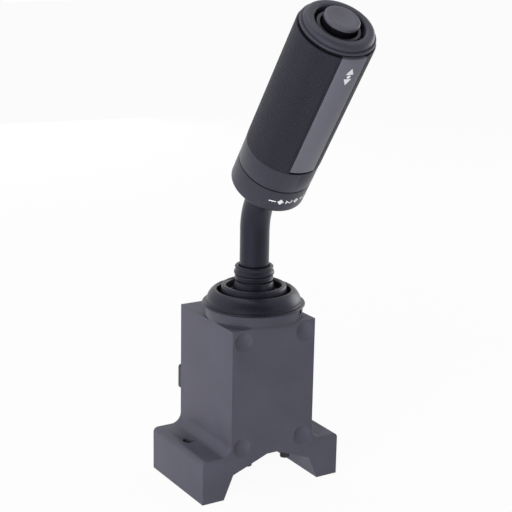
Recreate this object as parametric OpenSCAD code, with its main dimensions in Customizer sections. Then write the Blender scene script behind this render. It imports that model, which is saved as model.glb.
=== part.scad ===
// Control lever with a twist grip and a push-button, on a housing that stands on two feet.
// Millimetres, Z up. The origin is on the sole, midway between the two mounting holes.
// The front, -Y, is the side that the grip leans to. The grip's own parts are drawn in its frame,
// where z runs up the grip's axis from the middle of the bend and -Y is the thumb's side.

/* [Housing] */
// Width of the housing block
body_w = 52; // [50:0.5:60]
// Depth of the housing block from front to back
body_d = 57; // [55:0.5:66]
// Height of the housing above the sole
body_h = 95; // [93:0.5:105]
// Thickness of the side walls
wall_t = 3; // [2:0.25:3.5]
// Thickness of the front wall
front_t = 3.5; // [2.5:0.25:5]
// Thickness of the roof
roof_t = 4; // [3:0.25:5]
// Thickness of the floor above the top of the arch
floor_t = 4.5; // [3:0.25:6]
// Diameter of the dished marks on the front
dish_d = 11; // [8:0.5:12]
// Depth of the dished marks
dish_depth = 1.9; // [0.5:0.1:2]
// Distance of the screw bosses from the sides and the top
boss_inset = 6.7; // [6.3:0.1:7.5]
// Radius of the screw bosses
boss_r = 3.3; // [2.8:0.1:3.4]

/* [Feet] */
// Width over both feet
foot_span = 87; // [84:0.5:100]
// Height of the feet
foot_h = 24.5; // [22:0.5:26]
// Radius of the hollow between the block and a foot
foot_fillet = 6; // [3:0.5:7]
// Radius of a foot's outer top edge
foot_edge_r = 2.75; // [1:0.25:4]
// Width of the arch at the sole
arch_base_w = 60.5; // [56:0.5:64]
// Width of the arch at its knees
arch_knee_w = 49; // [44:0.5:54]
// Height of the arch's knees
arch_knee_h = 13.4; // [11:0.2:15]
// Height of the arch's top
arch_top_h = 21.5; // [20:0.25:22.5]
// Width of the flat at the arch's top
arch_flat_w = 6; // [3:0.5:10]
// Distance between the two mounting holes
mount_pitch = 70; // [68:0.5:74]
// Diameter of the mounting holes
mount_d = 6.6; // [4.3:0.1:7]
// Distance of the mounting holes behind the housing's middle
mount_back = 2.5; // [0:0.5:8]

/* [Rear cover and connector] */
// Thickness of the rear cover
cover_t = 3; // [2:0.25:4]
// Thickness of the cover's seal
seal_t = 0.8; // [0.5:0.1:1.5]
// Height of the connector's middle above the sole
plug_z = 51.2; // [50:0.2:56]
// Distance of the connector's flange from the housing's sides
flange_in = 0.25; // [0:0.25:3]
// Height of the connector's flange
flange_h = 14; // [12.5:0.25:16]
// Thickness of the connector's flange
flange_t = 3.4; // [2:0.2:4]
// Length of the connector's socket behind the cover
plug_len = 17; // [14:0.5:24]

/* [Pivot] */
// Distance of the shaft in front of the housing's middle
lever_fwd = 6.4; // [5:0.2:7]
// Depth of the pivot below the top of the housing
pivot_drop = 19; // [18:0.25:21]
// Diameter of the pivot pin
pin_d = 6; // [5:0.25:6.5]
// Wall of the rocker beside the shaft, at its flats
rocker_wall = 1.2; // [1:0.1:1.4]
// Diameter of the rocker's socket
rocker_d = 23; // [21.5:0.25:23.5]
// Thickness of the bracket's steel
bracket_t = 2; // [1.5:0.1:2.2]
// Tilt of the lever to each side of the middle, in degrees
tilt_range = 15; // [8:1:15]

/* [Shaft] */
// Diameter of the shaft
shaft_d = 16; // [15:0.25:16.5]
// Bore of the shaft
shaft_bore = 11; // [9:0.25:12]
// Height of the point where the grip's axis meets the upright shaft
bend_z = 153; // [150:0.5:165]
// Lean of the grip towards the front, in degrees
grip_lean = 34.4; // [20:0.2:38]
// Radius of the shaft's bend
bend_r = 32; // [26:0.5:36]

/* [Boot] */
// Outer radius of the ring that the boot sits in
seat_r = 27.2; // [26.4:0.1:29]
// Height of the ring's rim above the housing
seat_rim_h = 6.6; // [5:0.1:8]
// Distance of the boot's side inside the ring's outer edge
boot_in = 1.3; // [0.8:0.1:1.8]
// Distance by which the boot's lip passes the ring's outer edge
lip_out = 1; // [0.5:0.1:1.5]
// Thickness of the boot's rubber
boot_t = 1.2; // [1:0.05:1.2]

/* [Grip] */
// Diameter of the grip's smooth collar
grip_d = 40.3; // [39.5:0.1:42]
// Start of the index ring on the grip's axis
ring_start = 20.5; // [19:0.25:24]
// Length of the index ring
ring_len = 13.8; // [11:0.2:15]
// Gap of the seams between fixed and turning parts
seam = 0.8; // [0.4:0.1:1]
// Length of the sleeve's smooth collar
collar_len = 12.8; // [9:0.2:16]
// Length of the knurled cover and the thumb strip
cover_len = 76.2; // [74:0.2:82]
// Thickness of the knurled cover on the sleeve
cover_wall = 1.9; // [1.5:0.05:2.2]
// Height of the thumb strip above the knurled cover
strip_rise = 0.3; // [0:0.05:0.6]
// Gap between the collar and the thumb strip
strip_gap = 0.6; // [0.3:0.1:1]
// Half the angle that the thumb strip covers, in degrees
strip_half = 20.3; // [16:0.1:26]
// Twist of the sleeve to each side of the middle, in degrees
twist_range = 27; // [15:1:30]

/* [Top and button] */
// Width of the groove under the top cap
cap_groove = 1.1; // [0.6:0.1:1.6]
// Outer radius of the top cap's rounded ring
cap_ring_r = 18.2; // [17.5:0.1:19]
// Height of the top cap above the groove
cap_h = 4.6; // [4.2:0.1:6]
// Radius of the well round the button
well_r = 12.8; // [12.2:0.1:13.2]
// Diameter of the button
button_d = 18.2; // [16:0.1:18.4]
// Height of the button above the top cap
button_rise = 2.9; // [2.4:0.1:4]
// Travel of the button
button_travel = 1.8; // [1:0.1:2]

/* [Hidden] */
$fn = 72;
// Running clearance on the radius, and clearance of pieces that only sit in one another
run = 0.05;
sit = 0.1;
// Length by which a cut passes the face that it opens, and overlap of two runs of one tube
past = 1;
weld = 0.05;

front_y = -body_d / 2 - mount_back;
back_y = front_y + body_d;
lever_y = -mount_back - lever_fwd;
floor_z = arch_top_h + floor_t;
roof_z = body_h - roof_t;
cav_x = body_w / 2 - wall_t;
cav_front = front_y + front_t;
pivot_z = body_h - pivot_drop;

// Bosses for the screws of the rear cover, which stop at the cover's shelf
boss_x = body_w / 2 - boss_inset;
boss_low_z = floor_z + 2;
boss_high_z = body_h - boss_inset;
cover_in_y = back_y - cover_t;
shelf_y = cover_in_y - seal_t;
shelf_w = 1.5;
cover_screw_r = 1.6;
cover_head_r = 3;
cover_head_h = 1.4;
cover_screw_len = 16;

// Rocker: a socket for the shaft between two flats, and a tail between two stops
rocker_w = shaft_d + 2 * rocker_wall;
socket_floor_z = pivot_z - 10;
rocker_low_z = socket_floor_z - 4;
rocker_top_z = pivot_z + 13;
tail_len = 40;
tail_lift = 8;
tail_w = 8;
tail_d = 10;
// The tail is tail_len long, or ends tail_lift above the bracket's base where the housing is too low for that
tail_low_z = max(pivot_z - tail_len, floor_z + bracket_t + tail_lift);
stop_gap = 0.3;
stop_t = 2.5;
stop_half_w = 6;
stop_top_z = tail_low_z + 7;
tail_reach = (pivot_z - tail_low_z) * sin(tilt_range) + tail_d / 2 * cos(tilt_range) + stop_gap;

// Pivot bracket: two cheeks on a base that is screwed down through the floor
disc_t = 1.2;
wave_t = 0.9;
cheek_in = rocker_w / 2 + run + disc_t + wave_t;
cheek_out = cheek_in + bracket_t;
cheek_top_r = 9;
cheek_foot = 11;
bush_wall = 1.9;
bush_r = pin_d / 2 + run + bush_wall;
bush_flange_r = bush_r + 2;
bush_flange_t = 0.8;
pin_out = cheek_out + bush_flange_t;
clip_t = 0.8;
base_front = cav_front + 0.5;
base_edge = 2.4;
base_back = lever_y + tail_reach + stop_t + base_edge;
base_half = boss_x - boss_r - 0.5;
base_screw_x = base_half - 3.25;
base_screw_in = 2;
base_screw_r = 1.7;
base_head_r = 2.6;
base_head_h = 4.4;
base_screw_ys = [base_front + base_screw_in, base_back - base_screw_in - 0.4];

// The slope of the arch's roof and the seats of the bracket's screws in it
arch_slope = (arch_top_h - arch_knee_h) / (arch_knee_w / 2 - arch_flat_w / 2);
seat_z = arch_top_h - (base_screw_x - base_head_r - arch_flat_w / 2) * arch_slope;

// Sensor block on the right cheek, over the magnet
sensor_h = 14;
sensor_d = 24;
sensor_wall = 1.6;
magnet_r = 3;
magnet_t = 2;
sensor_out = pin_out + magnet_t + 0.5 + sensor_wall;
sensor_screw_y = 9.6;
sensor_screw_r = 1;

// Board on posts of the rear cover
board_t = 1.6;
board_w = 34;
board_low_z = floor_z + 8;
board_high_z = roof_z - 9;
board_y = cover_in_y - 6.3 - board_t;
post_x = board_w / 2 - 3;
post_zs = [board_low_z + 4, board_high_z - 4];
post_r = 2.8;
post_hole_r = 1.05;

// Connector
plug_w = 25;
plug_h = 11.5;
plug_wall = 1.5;
plug_deep = plug_len - 4;
pin_pitch = 4.5;
pin_row = 4;
contact_r = 0.6;
flange_w = body_w - 2 * flange_in;
flange_screw_x = flange_w / 2 - 5;
flange_screw_r = 1.5;

// Cable
cable_r = 2;
exit_z = pivot_z + 7;
exit_bend = 5;
exit_out = 12;
loop_r = 9;
loop_y = lever_y + exit_out;
header_top_z = exit_z - loop_r;
header_w = 10;
header_h = 9;

// Boot seat
seat_floor_t = 2;
seat_hole_r = 16;
spigot_r = 17.3;
seat_top_z = body_h + seat_rim_h;
seat_rim_in = seat_r - 2.2;
boot_r = seat_r - boot_in;
boot_foot_z = body_h + seat_floor_t;
boot_foot_r = seat_rim_in - 0.3;
boot_lip_t = 1.1;

// Bend of the shaft: the upright part ends and the grip's part starts one tangent length from the corner
bend_len = bend_r * tan(grip_lean / 2);
bend_start_z = bend_z - bend_len;

// Grip, on its own axis: places along it from its lower end, and depths below its cap
lower_bearing_in = 2;
core_pin_in = 17.7;
board_ring_in = 25;
core_grip_len = 27.7;
detent_in = 38;
lug_in = 54;
cap_floor_drop = 1.6;
cap_floor_t = 2.6;
cup_depth = 13;
upper_bearing_drop = 17;
grip_r = grip_d / 2;
ring_end = ring_start + ring_len;
collar_start = ring_end + seam;
cover_start = collar_start + collar_len;
cover_end = cover_start + cover_len;
sleeve_r = grip_r - cover_wall + 0.15;
sleeve_bore = 15.6;
core_r = 11.4;
shoulder_r = 13.4;
bearing_r = sleeve_bore - 0.08;
core_grip_end = ring_end + core_grip_len;
shaft_end = core_grip_end - 0.1;
cable_bore = 5.6;
cap_start = cover_end + cap_groove;
cap_end = cap_start + cap_h;
cap_floor_top = cap_start - cap_floor_drop;
cap_floor_low = cap_floor_top - cap_floor_t;
cup_floor = cap_floor_low - cup_depth;
cup_r = 9.2;
skirt_len = 9;
lower_bearing_start = ring_end + lower_bearing_in;
upper_bearing_start = cap_floor_low - upper_bearing_drop;
bearing_len = 5;
board_ring_start = ring_end + board_ring_in;
detent_start = ring_end + detent_in;
detent_len = 10;
detent_count = 5;
detent_pitch = 2 * twist_range / (detent_count - 1);
lug_start = ring_end + lug_in;
lug_len = 6;
lug_half = 9;
rib_half = 4;
rib_gap = 1;
core_pin_z = ring_end + core_pin_in;

// Button
button_r = button_d / 2;
button_top = cap_end + button_rise;
button_low = cap_floor_top + button_travel + 0.2;
button_roof = button_top - 3.2;
stem_r = 4;
stem_low = cap_floor_low - 3.7;
bezel_in = button_r + 0.3;
bezel_out = bezel_in + 2;
bezel_top = cap_floor_top + 4.1;
switch_top = stem_low - button_travel - 0.1;

// Helpers

module both_sides() {
  children();
  mirror([1, 0, 0]) children();
}

module xcyl(r, x0, x1) {
  translate([x0, 0, 0]) rotate([0, 90, 0]) cylinder(r = r, h = x1 - x0);
}

module ycyl(r, y0, y1) {
  translate([0, y1, 0]) rotate([90, 0, 0]) cylinder(r = r, h = y1 - y0);
}

module zcyl(r, z0, z1) {
  translate([0, 0, z0]) cylinder(r = r, h = z1 - z0);
}

module annulus(r_out, r_in) {
  difference() {
    circle(r_out);
    if (r_in > 0) circle(r_in);
  }
}

module zring(r_in, r_out, z0, z1) {
  translate([0, 0, z0]) linear_extrude(z1 - z0) annulus(r_out, r_in);
}

module block(x0, x1, y0, y1, z0, z1) {
  translate([x0, y0, z0]) cube([x1 - x0, y1 - y0, z1 - z0]);
}

// Rectangle from r0 to r1 and z0 to z1 for a turned profile
module slab(r0, r1, z0, z1) {
  translate([r0, z0]) square([r1 - r0, z1 - z0]);
}

// The same with its outer lower or outer and inner upper corners rounded
module soft_slab(r0, r1, z0, z1, low = 0, high = 0, inner = 0) {
  difference() {
    slab(r0, r1, z0, z1);
    if (low > 0) corner_cut(r1 - low, z0 + low, low, 1, -1);
    if (high > 0) corner_cut(r1 - high, z1 - high, high, 1, 1);
    if (inner > 0) corner_cut(r0 + inner, z1 - inner, inner, -1, 1);
  }
}

module corner_cut(x, z, r, side_x, side_z) {
  translate([x, z]) mirror([side_x < 0 ? 1 : 0, 0]) mirror([0, side_z < 0 ? 1 : 0]) difference() {
    square(r + past);
    circle(r);
  }
}

// Wedge of a plane that opens towards -Y, for pieces that cover part of a turn
module wedge(half, reach = 40) {
  polygon([[0, 0], [-reach * tan(half), -reach], [reach * tan(half), -reach]]);
}

module arc_slab(r_in, r_out, half, turn, z0, z1) {
  rotate([0, 0, turn]) translate([0, 0, z0]) linear_extrude(z1 - z0) intersection() {
    difference() {
      circle(r_out);
      circle(r_in);
    }
    wedge(half);
  }
}

// Rectangle with round corners, middle at the origin
module soft_rect(w, h, r) {
  square([w - 2 * r, h], center = true);
  square([w, h - 2 * r], center = true);
  for (x = [-1, 1], y = [-1, 1]) translate([x * (w / 2 - r), y * (h / 2 - r)]) circle(r);
}

// Extrusion towards +Y of an outline drawn in X and Z
module along_y(y0, y1) {
  translate([0, y1, 0]) rotate([90, 0, 0]) linear_extrude(y1 - y0) children();
}

// Turn of a profile about an X-parallel line, from angle a0 to a1, where 0 points to +Y and 90 up
module arc_yz(y, z, radius, a0, a1) {
  translate([0, y, z]) rotate([90, 0, 90]) rotate([0, 0, a0])
    rotate_extrude(angle = a1 - a0) translate([radius, 0]) children();
}

module at_lever() {
  translate([0, lever_y, 0]) children();
}

module at_pivot() {
  translate([0, lever_y, pivot_z]) children();
}

module at_grip() {
  translate([0, lever_y, bend_z]) rotate([grip_lean, 0, 0]) children();
}

module at_bosses() {
  for (x = [-boss_x, boss_x], z = [boss_low_z, boss_high_z]) translate([x, 0, z]) children();
}

module at_base_screws() {
  for (x = [-base_screw_x, base_screw_x], y = base_screw_ys) translate([x, y, 0]) children();
}

module at_posts() {
  for (x = [-post_x, post_x], z = post_zs) translate([x, 0, z]) children();
}

// A tube or rod from its lower end, round the bend and up into the grip. The bend's wall is a hair
// thicker than the straight runs, which end inside it
module bent_run(z_low, s_high, r_out, r_in) {
  translate([0, lever_y, z_low]) linear_extrude(bend_start_z - z_low + weld) annulus(r_out, r_in);
  arc_yz(lever_y - bend_r, bend_start_z, bend_r, 0, grip_lean) annulus(r_out + weld, r_in - weld);
  at_grip() translate([0, 0, bend_len - weld]) linear_extrude(s_high - bend_len + weld) annulus(r_out, r_in);
}

// Housing and what is fixed to it

module housing_outline() {
  difference() {
    union() {
      translate([-body_w / 2, 0]) square([body_w, body_h]);
      difference() {
        translate([-foot_span / 2, 0]) square([foot_span, foot_h]);
        both_sides() corner_cut(foot_span / 2 - foot_edge_r, foot_h - foot_edge_r, foot_edge_r, 1, 1);
      }
      both_sides() translate([body_w / 2, foot_h]) difference() {
        translate([-past, -past]) square(foot_fillet + past);
        translate([foot_fillet, foot_fillet]) circle(foot_fillet);
      }
    }
    polygon([[-arch_base_w / 2, -past], [-arch_base_w / 2, 0], [-arch_knee_w / 2, arch_knee_h],
             [-arch_flat_w / 2, arch_top_h], [arch_flat_w / 2, arch_top_h],
             [arch_knee_w / 2, arch_knee_h], [arch_base_w / 2, 0], [arch_base_w / 2, -past]]);
  }
}

module housing() {
  dish_r = (dish_d * dish_d / 4 + dish_depth * dish_depth) / (2 * dish_depth);
  color([0.33, 0.32, 0.36]) difference() {
    along_y(front_y, back_y) housing_outline();
    difference() {
      block(-cav_x, cav_x, cav_front, back_y + past, floor_z, roof_z);
      at_bosses() ycyl(boss_r, cav_front - past, shelf_y);
    }
    block(-cav_x - shelf_w, cav_x + shelf_w, shelf_y, back_y + past, floor_z - shelf_w, roof_z + shelf_w);
    at_bosses() {
      ycyl(cover_screw_r + run, cover_in_y + cover_t - cover_screw_len - past, back_y);
      translate([0, front_y - dish_r + dish_depth, 0]) sphere(dish_r);
    }
    at_lever() zcyl(spigot_r + run, roof_z - past, body_h + past);
    for (x = [-1, 1]) translate([x * mount_pitch / 2, 0, 0]) zcyl(mount_d / 2, -past, foot_h + past);
    at_base_screws() {
      zcyl(base_screw_r + run, 0, floor_z + past);
      zcyl(base_head_r + 0.3, 0, seat_z);
    }
  }
}

module rear_cover() {
  edge = shelf_w - sit;
  color([0.30, 0.29, 0.33]) difference() {
    union() {
      block(-cav_x - edge, cav_x + edge, cover_in_y, back_y, floor_z - edge, roof_z + edge);
      at_posts() ycyl(post_r, board_y + board_t, cover_in_y + past);
    }
    at_bosses() {
      ycyl(cover_screw_r + run, shelf_y, back_y + past);
      ycyl(cover_head_r + sit, back_y - cover_head_h, back_y + past);
    }
    at_posts() ycyl(post_hole_r, board_y, cover_in_y);
    translate([0, 0, plug_z]) along_y(cover_in_y - past, back_y + past)
      soft_rect(plug_w + 2 * sit, plug_h + 2 * sit, 2);
    for (x = [-1, 1]) translate([x * flange_screw_x, 0, plug_z]) ycyl(flange_screw_r + run, cover_in_y - past, back_y + past);
  }
}

module cover_seal() {
  edge = shelf_w - sit;
  color([0.08, 0.08, 0.08]) along_y(shelf_y, cover_in_y) difference() {
    translate([-cav_x - edge, floor_z - edge]) square([2 * (cav_x + edge), roof_z - floor_z + 2 * edge]);
    difference() {
      translate([-cav_x, floor_z]) square([2 * cav_x, roof_z - floor_z]);
      for (x = [-boss_x, boss_x], z = [boss_low_z, boss_high_z]) translate([x, z]) circle(boss_r);
    }
    for (x = [-boss_x, boss_x], z = [boss_low_z, boss_high_z]) translate([x, z]) circle(cover_screw_r + run);
  }
}

module cover_screws() {
  color("silver") at_bosses() {
    difference() {
      ycyl(cover_head_r, back_y - cover_head_h, back_y);
      ycyl(1.25, back_y - 0.9, back_y + past, $fn = 6);
    }
    ycyl(cover_screw_r, back_y - cover_screw_len, back_y - cover_head_h);
  }
}

module at_contacts() {
  for (i = [0 : pin_row - 1], z = [-1, 1])
    translate([(i - (pin_row - 1) / 2) * pin_pitch, 0, plug_z + z * pin_pitch / 2]) children();
}

module connector_shell() {
  color([0.12, 0.12, 0.13]) difference() {
    union() {
      translate([0, 0, plug_z]) {
        along_y(board_y + board_t, back_y + plug_len) soft_rect(plug_w, plug_h, 2 - sit);
        along_y(back_y, back_y + flange_t) soft_rect(flange_w, flange_h, 1.5);
        // catch for the plug's latch
        translate([0, back_y + plug_len - 6, plug_h / 2 - 0.5])
          rotate([90, 0, 90]) linear_extrude(6, center = true) polygon([[0, 0], [5, 0], [2, 2], [0, 2]]);
      }
    }
    translate([0, 0, plug_z]) along_y(back_y + plug_len - plug_deep, back_y + plug_len + past)
      soft_rect(plug_w - 2 * plug_wall, plug_h - 2 * plug_wall, 1);
    at_contacts() ycyl(contact_r + run, board_y, back_y + plug_len);
    for (x = [-1, 1]) translate([x * flange_screw_x, 0, plug_z]) {
      ycyl(flange_screw_r + run, back_y - past, back_y + flange_t + past);
    }
  }
}

module connector_pins() {
  color("gold") at_contacts() {
    ycyl(contact_r, board_y - 1, back_y + plug_len - 6);
  }
}

module flange_screws() {
  color("silver") for (x = [-1, 1]) translate([x * flange_screw_x, 0, plug_z]) difference() {
    union() {
      ycyl(flange_screw_r, cover_in_y - 1.5, back_y + flange_t);
      ycyl(2.6, back_y + flange_t, back_y + flange_t + 1.8);
    }
    ycyl(1.3, back_y + flange_t + 0.8, back_y + flange_t + 2.8, $fn = 6);
  }
}

module main_board() {
  color([0.05, 0.3, 0.16]) difference() {
    block(-board_w / 2, board_w / 2, board_y, board_y + board_t, board_low_z, board_high_z);
    at_posts() ycyl(1.25, board_y - past, board_y + board_t + past);
    at_contacts() ycyl(contact_r + 0.15, board_y - past, board_y + board_t + past);
  }
}

module board_chips() {
  color([0.1, 0.1, 0.1]) {
    block(-11, 1, board_y - 1.6, board_y, board_low_z + 4, board_low_z + 11);
    block(5, 11, board_y - 1.2, board_y, board_low_z + 4, board_low_z + 10);
  }
}

module board_screws() {
  color("silver") at_posts() {
    ycyl(post_hole_r - run, board_y, board_y + board_t + 5);
    ycyl(1.9, board_y - 1.3, board_y);
  }
}

module cable_header() {
  color([0.85, 0.83, 0.75]) difference() {
    block(-header_w / 2, header_w / 2, loop_y + loop_r - 3, board_y, header_top_z - header_h, header_top_z);
    block(-3, 3, loop_y + loop_r - past - 3, loop_y + loop_r - 2.2, header_top_z - 6, header_top_z - 2);
  }
}

module pivot_bracket() {
  color([0.62, 0.62, 0.64]) difference() {
    union() {
      block(-base_half, base_half, base_front, base_back, floor_z, floor_z + bracket_t);
      both_sides() at_lever() {
        translate([cheek_in, 0, 0]) rotate([90, 0, 90]) linear_extrude(bracket_t)
          polygon([[-cheek_foot, floor_z], [cheek_foot, floor_z], [cheek_top_r, pivot_z], [-cheek_top_r, pivot_z]]);
        translate([0, 0, pivot_z]) xcyl(cheek_top_r, cheek_in, cheek_out);
      }
      at_lever() for (side = [0, 1]) mirror([0, side, 0])
        block(-stop_half_w, stop_half_w, tail_reach, tail_reach + stop_t, floor_z, stop_top_z);
    }
    at_pivot() xcyl(bush_r + run, -cheek_out - past, cheek_out + past);
    at_pivot() for (y = [-1, 1]) translate([0, y * sensor_screw_y, 0])
      xcyl(sensor_screw_r + run, cheek_in - past, cheek_out + past);
    at_base_screws() zcyl(base_screw_r + run, floor_z - past, floor_z + bracket_t + past);
  }
}

module bracket_screws() {
  color([0.25, 0.25, 0.27]) at_base_screws() {
    zcyl(base_screw_r, seat_z, floor_z + bracket_t + 1);
    difference() {
      zcyl(base_head_r, seat_z - base_head_h, seat_z);
      zcyl(1.4, seat_z - base_head_h - past, seat_z - 1.4, $fn = 6);
    }
  }
}

module pivot_bushes() {
  color([0.85, 0.82, 0.72]) both_sides() at_pivot() difference() {
    union() {
      xcyl(bush_r, cheek_in, cheek_out);
      xcyl(bush_flange_r, cheek_out, cheek_out + bush_flange_t);
    }
    xcyl(pin_d / 2 + run, cheek_in - past, cheek_out + bush_flange_t + past);
  }
}

module friction_discs() {
  color([0.45, 0.3, 0.18]) both_sides() at_pivot() difference() {
    xcyl(8.5, rocker_w / 2 + run, rocker_w / 2 + run + disc_t);
    xcyl(pin_d / 2 + 0.3, rocker_w / 2 - past, cheek_in);
  }
}

module wave_washers() {
  color("silver") both_sides() at_pivot() difference() {
    xcyl(7.5, rocker_w / 2 + run + disc_t, cheek_in);
    xcyl(pin_d / 2 + 0.4, rocker_w / 2, cheek_in + past);
  }
}

module tilt_sensor() {
  color([0.1, 0.1, 0.11]) at_pivot() difference() {
    block(cheek_out, sensor_out, -sensor_d / 2, sensor_d / 2, -sensor_h / 2, sensor_h / 2);
    xcyl(bush_flange_r + 0.3, cheek_out - past, pin_out + 0.2);
    xcyl(magnet_r + 0.7, cheek_out, sensor_out - sensor_wall);
    for (y = [-1, 1]) translate([0, y * sensor_screw_y, 0]) xcyl(sensor_screw_r + run, cheek_out - past, sensor_out + past);
  }
}

module sensor_screws() {
  color("silver") at_pivot() for (y = [-1, 1]) translate([0, y * sensor_screw_y, 0]) {
    xcyl(sensor_screw_r, cheek_in, sensor_out);
    xcyl(1.9, sensor_out, sensor_out + 0.8);
  }
}

module boot_seat() {
  color([0.36, 0.35, 0.38]) at_lever() difference() {
    rotate_extrude() difference() {
      union() {
        slab(seat_hole_r, spigot_r, roof_z, body_h + past);
        slab(seat_hole_r, seat_r - 1, body_h, boot_foot_z);
        polygon([[seat_rim_in, body_h], [seat_r - 1.6, body_h], [seat_r - 0.4, body_h + 1.2],
                 [seat_r, seat_top_z], [seat_rim_in, seat_top_z]]);
      }
    }
    // notch in the rim, where a blade lifts the boot's lip
    rotate([0, 0, 38]) translate([-2.2, -seat_r - past, body_h + 3.4]) cube([4.4, 1.9, seat_rim_h]);
  }
}

function arc_points(x, z, r, a0, a1, n) =
  [for (i = [0 : n]) let (a = a0 + (a1 - a0) * i / n) [x + r * cos(a), z + r * sin(a)]];

// The boot's wall as a chain of arcs joined by straight lines: distance of the centre from the shaft,
// height above the boot's foot, radius, first and last angle, and 1 where it bulges outwards
boot_arcs = [
  [9.6, 5.9, 8.3, 0, 58, 1],
  [13.34, 11.88, 1.25, 58, 180, 1],
  [11, 8.2, 0.5, 360, 180, -1],
  [8.45, 14.3, 1.35, 0, 180, 1],
  [5.3, 11.4, 1.3, 360, 190, -1],
  [3.7, 17.6, 1.5, 190, 150, -1],
  [2.75, 19.3, 0.6, 250, 110, -1],
  [1.2, 22.4, 1.8, -50, 60, 1]
];
// The arcs are drawn for a boot that stands this far off the shaft, and grow with it
fold_k = (boot_r - shaft_d / 2) / 17.9;

function boot_path(inset) = [for (a = boot_arcs) each
  arc_points(shaft_d / 2 + fold_k * a[0], boot_foot_z + fold_k * a[1],
             max(0.05, fold_k * a[2] - a[5] * inset), a[3], a[4], 6)];

module boot() {
  lip_r = seat_r + lip_out;
  lip = shaft_d / 2 + 0.35;
  lip_z = boot_foot_z + fold_k * 25.3;
  skin_z = boot_foot_z + fold_k * 16.3;
  outer = boot_path(0);
  inner = boot_path(boot_t);
  count = len(inner);
  color([0.1, 0.1, 0.11]) at_lever() rotate_extrude() polygon(concat(
    [[boot_foot_r - 3.5, boot_foot_z], [boot_foot_r, boot_foot_z], [boot_foot_r, seat_top_z],
     [lip_r, seat_top_z], [lip_r, seat_top_z + 0.6], [lip_r - 0.5, seat_top_z + boot_lip_t],
     [boot_r, seat_top_z + boot_lip_t]],
    outer,
    arc_points(lip + 1.1, lip_z, 1.1, 15, 180, 5),
    [[lip, skin_z + 0.2]],
    [for (i = [1 : count]) if (inner[count - i][1] < skin_z) inner[count - i]],
    [[boot_foot_r - boot_t, seat_top_z - 0.6], [boot_foot_r - boot_t, boot_foot_z + 1.3],
     [boot_foot_r - 3.5, boot_foot_z + 1.3]]
  ));
}

module cable_loop() {
  color([0.15, 0.15, 0.16]) arc_yz(loop_y, exit_z - loop_r, loop_r, 0, 90) circle(cable_r);
}

// Lever

module cable_slot() {
  at_lever() block(-3, 3, 0, rocker_d, exit_z - cable_r - 0.7, exit_z + exit_bend + 0.5);
}

module rocker() {
  color([0.5, 0.5, 0.52]) difference() {
    union() {
      intersection() {
        at_lever() zcyl(rocker_d / 2, rocker_low_z, rocker_top_z);
        block(-rocker_w / 2, rocker_w / 2, -body_d, body_d, 0, body_h);
      }
      at_lever() block(-tail_w / 2, tail_w / 2, -tail_d / 2, tail_d / 2, tail_low_z, rocker_low_z + past);
    }
    at_lever() zcyl(shaft_d / 2 + run, socket_floor_z, rocker_top_z + past);
    at_pivot() xcyl(pin_d / 2 + run, -rocker_w, rocker_w);
    cable_slot();
  }
}

module pivot_pin() {
  color("silver") at_pivot() difference() {
    xcyl(pin_d / 2, -pin_out - clip_t - 1.2, pin_out);
    difference() {
      xcyl(pin_d, -pin_out - clip_t, -pin_out);
      xcyl(pin_d / 2 - 0.5, -pin_out - clip_t - past, -pin_out + past);
    }
  }
}

module pin_clip() {
  color([0.2, 0.2, 0.22]) at_pivot() difference() {
    xcyl(pin_d / 2 + 2.2, -pin_out - clip_t + run, -pin_out - run);
    xcyl(pin_d / 2 - 0.5 + run, -pin_out - clip_t - past, -pin_out + past);
    block(-pin_out - clip_t - past, -pin_out + past, -1.6, 1.6, -pin_d * 2, 0);
  }
}

module pivot_magnet() {
  color([0.7, 0.7, 0.72]) at_pivot() xcyl(magnet_r - 0.2, pin_out, pin_out + magnet_t);
}

module shaft() {
  color([0.16, 0.16, 0.18]) difference() {
    bent_run(socket_floor_z, shaft_end, shaft_d / 2, shaft_bore / 2);
    at_pivot() xcyl(pin_d / 2 + run, -shaft_d, shaft_d);
    cable_slot();
    at_grip() translate([0, 0, core_pin_z]) xcyl(1.5 + run, -shaft_d, shaft_d);
  }
}

module lever_cable() {
  color([0.15, 0.15, 0.16]) {
    bent_run(exit_z + exit_bend - weld, core_pin_z - 3, cable_r, 0);
    arc_yz(lever_y + exit_bend, exit_z + exit_bend, exit_bend, 180, 270) circle(cable_r + weld);
    translate([0, 0, exit_z]) ycyl(cable_r, lever_y + exit_bend - weld, loop_y);
    // the cores of the cable run past the cross pin on either side
    at_grip() {
      for (y = [-1, 1]) translate([0, y * 3.1, 0]) zcyl(1, core_pin_z - 3, core_pin_z + 3);
      for (z = [-1, 1]) translate([0, 0, core_pin_z + 3.2 * z]) zcyl(4.2, -0.8, 0.8);
      zcyl(cable_r, core_pin_z + 3, cup_floor);
    }
  }
}

module index_ring() {
  color([0.33, 0.33, 0.36]) at_grip() rotate_extrude() {
    soft_slab(shaft_d / 2 + run, grip_r, ring_start, ring_start + 3.2, low = 1.4);
    slab(grip_r - 2.5, grip_r, ring_start + 3.1, ring_end);
    slab(shaft_d / 2 + run, core_r - 0.4, ring_start + 3, ring_end);
  }
}

module grip_core() {
  color([0.25, 0.25, 0.27]) at_grip() difference() {
    union() {
      rotate_extrude() difference() {
        union() {
          slab(0, core_r, ring_end, cap_floor_low);
          slab(0, shoulder_r, lower_bearing_start + bearing_len, lower_bearing_start + bearing_len + 2);
          slab(0, shoulder_r, board_ring_start - 3, board_ring_start);
          slab(0, shoulder_r, upper_bearing_start - 2, upper_bearing_start);
        }
        slab(-past, shaft_d / 2 + run, ring_end - past, core_grip_end);
        slab(-past, cable_bore, core_grip_end - past, cup_floor + past);
        slab(-past, cup_r, cup_floor, cap_floor_low + past);
      }
      arc_slab(core_r - 1, sleeve_bore - 0.5, lug_half, 0, lug_start, lug_start + lug_len);
    }
    translate([0, 0, core_pin_z]) xcyl(1.5 + run, -core_r - past, core_r + past);
  }
}

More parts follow.
